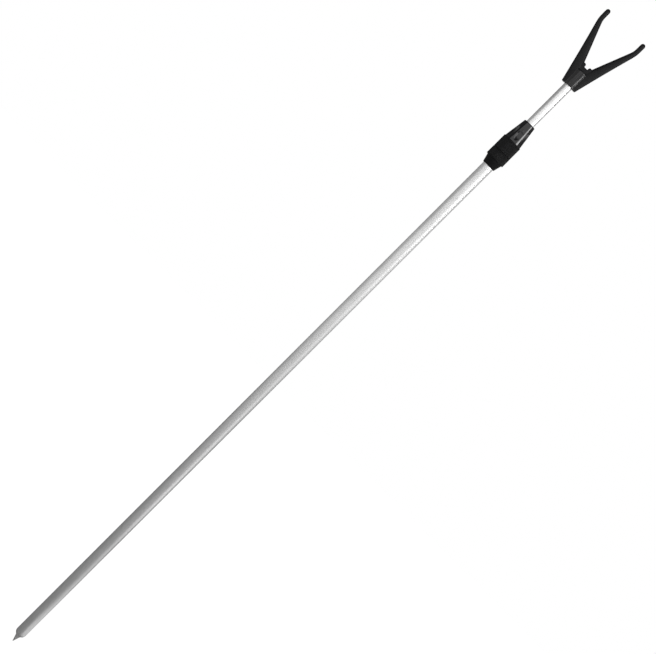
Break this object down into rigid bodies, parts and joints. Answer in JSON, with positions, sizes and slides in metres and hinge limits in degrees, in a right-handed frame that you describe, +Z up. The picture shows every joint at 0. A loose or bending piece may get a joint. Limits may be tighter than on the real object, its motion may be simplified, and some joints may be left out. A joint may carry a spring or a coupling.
{
  "type": "telescopic bank stick",
  "caption": "Telescopic stick that is pushed into a bank and holds a fishing rod in its V head; a screw lock grips the inner tube at any height.",
  "frame": {"origin": "tip of the ground spike, on the stick's axis", "axes": "+Z up the stick towards the rod head, X across the V from arm tip to arm tip, Y along the rod that rests in the V"},
  "size_m": [0.067, 0.0274, 1.1371],
  "materials": {
    "outer_tube_aluminium": "drawn and clear anodised, satin grey silver",
    "inner_tube_aluminium": "drawn and clear anodised, bright satin silver",
    "spike_steel": "turned and zinc plated",
    "lock_plastic": "moulded, satin to matt black",
    "nut_plastic": "moulded, half gloss black",
    "head_plastic": "moulded, half gloss black",
    "nylon": "moulded natural nylon"
  },
  "bodies": {
    "lower_section": {"ground_spike": "spike_steel", "outer_tube": "outer_tube_aluminium", "lock_body": "lock_plastic"},
    "clamp": {"lock_collet": "nylon"},
    "nut": {"lock_nut": "nut_plastic"},
    "guide": {"guide_bush": "nylon"},
    "upper_section": {"inner_tube": "inner_tube_aluminium", "foot_plug": "lock_plastic", "rod_head": "head_plastic"}
  },
  "joints": [
    {"name": "inner_slide", "type": "slide", "parent": "lower_section", "child": "guide", "axis": [0, 0, 1], "range_m": [-0.063, 0.7509]},
    {"name": "inner_swivel", "type": "hinge", "parent": "guide", "child": "upper_section", "pos_m": [0, 0, 0.1507], "axis": [0, 0, 1], "continuous": true},
    {"name": "collet_lift", "type": "slide", "parent": "lower_section", "child": "clamp", "axis": [0, 0, 1], "range_m": [0, 0.00225]},
    {"name": "nut_turn", "type": "hinge", "parent": "clamp", "child": "nut", "pos_m": [0, 0, 0.94], "axis": [0, 0, 1], "range_deg": [0, 540]}
  ],
  "couplings": [
    {"joint": "nut_turn", "follows": "collet_lift", "rad_per_m": 4188.8}
  ]
}
